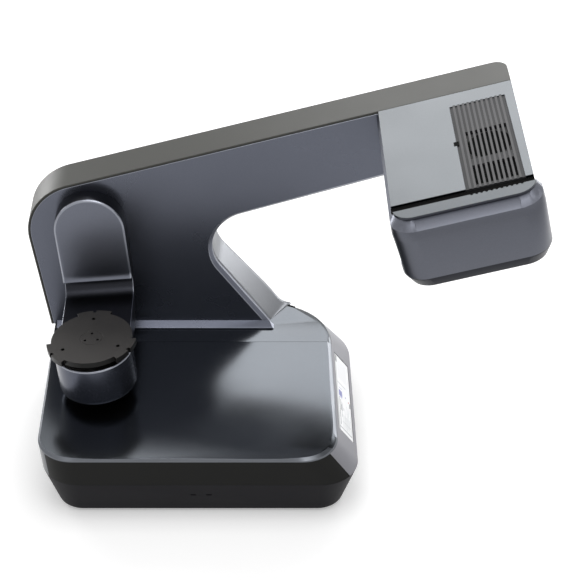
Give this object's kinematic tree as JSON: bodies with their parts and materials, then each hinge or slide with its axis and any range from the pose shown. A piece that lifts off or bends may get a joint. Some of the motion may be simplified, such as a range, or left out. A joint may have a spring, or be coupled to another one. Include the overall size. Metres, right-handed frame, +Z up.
{
  "type": "desktop three-dimensional scanner",
  "caption": "Desktop three-dimensional scanner: an arm rises from a low base and holds a scan head over a small turntable that swings and turns.",
  "frame": {"origin": "on the table top, under the middle of the whole object's box", "axes": "+Z up; +Y to the back, from the turntable towards the arm; +X to the right, towards the scan head"},
  "size_m": [0.5529, 0.2894, 0.4138],
  "materials": {
    "deck_paint": "satin metallic paint",
    "shell_paint": "satin metallic paint",
    "head_light_paint": "satin light grey metallic paint",
    "dark_plastic": "fine moulded texture",
    "band_plastic": "fine moulded texture",
    "grille_plastic": "fine moulded texture",
    "bezel_plastic": "satin",
    "screen_glass": "lit display under glass",
    "window_glass": "dark filter glass",
    "lens_metal": "black anodised",
    "cast_aluminium": "satin metallic paint",
    "plate_metal": "hard anodised, dark",
    "frame_metal": "as cast",
    "steel": "ground",
    "screw_steel": "black oxide",
    "motor_metal": "black",
    "case_metal": "folded sheet",
    "rubber": "moulded",
    "board": "solder mask"
  },
  "bodies": {
    "root": {"rubber_feet": "rubber", "base_lower_shell": "dark_plastic", "base_upper_shell": "deck_paint", "front_band": "dark_plastic", "deck_plate": "deck_paint", "chassis_plate": "steel", "base_screws": "screw_steel", "screen_bezel": "bezel_plastic", "touch_screen": "screen_glass", "control_board": "board", "board_standoffs": "steel", "heat_sink": "frame_metal", "power_supply": "case_metal", "connector_panel": "dark_plastic", "power_inlet": "dark_plastic", "usb_socket": "steel", "switch_frame": "dark_plastic", "arm_frame": "frame_metal", "arm_front_cover": "deck_paint", "arm_toe_strip": "shell_paint", "arm_rear_housing": "shell_paint", "arm_spine_cover": "band_plastic", "arm_screws": "screw_steel", "swing_bearing": "steel", "swing_gearmotor": "motor_metal", "head_lower_housing": "shell_paint", "head_front_lip": "head_light_paint", "head_top_cover": "head_light_paint", "vent_grille": "grille_plastic", "head_screws": "screw_steel", "optical_window": "window_glass", "optical_bench": "frame_metal", "camera_front": "lens_metal", "camera_rear": "lens_metal", "camera_front_lens": "lens_metal", "camera_rear_lens": "lens_metal", "projector_body": "lens_metal", "projector_lens": "lens_metal", "sensor_board": "board", "fan_frame": "dark_plastic"},
    "swing_stage": {"swing_bracket": "cast_aluminium", "swing_shaft": "steel", "turntable_motor_housing": "cast_aluminium", "housing_cap": "dark_plastic", "spindle_bearing": "steel", "turntable_motor": "motor_metal"},
    "turntable": {"turntable_plate": "plate_metal", "turntable_spindle": "steel", "table_screws": "screw_steel"},
    "fan": {"fan_rotor": "dark_plastic"},
    "rocker": {"power_rocker": "dark_plastic"}
  },
  "joints": [
    {"name": "stage_swing", "type": "hinge", "parent": "root", "child": "swing_stage", "pos_m": [-0.20397, 0.09745, 0.2335], "axis": [0, 1, 0], "range_deg": [-55, 65]},
    {"name": "table_turn", "type": "hinge", "parent": "swing_stage", "child": "turntable", "pos_m": [-0.19765, -0.02695, 0.16128], "axis": [-0.0872, 0, 0.9962], "continuous": true},
    {"name": "fan_spin", "type": "hinge", "parent": "root", "child": "fan", "pos_m": [0.22022, -0.01275, 0.40048], "axis": [-0.2667, 0, 0.9638], "continuous": true},
    {"name": "power_switch", "type": "hinge", "parent": "root", "child": "rocker", "pos_m": [-0.06367, 0.13874, 0.0665], "axis": [1, 0, 0], "range_deg": [-18, 0]}
  ]
}
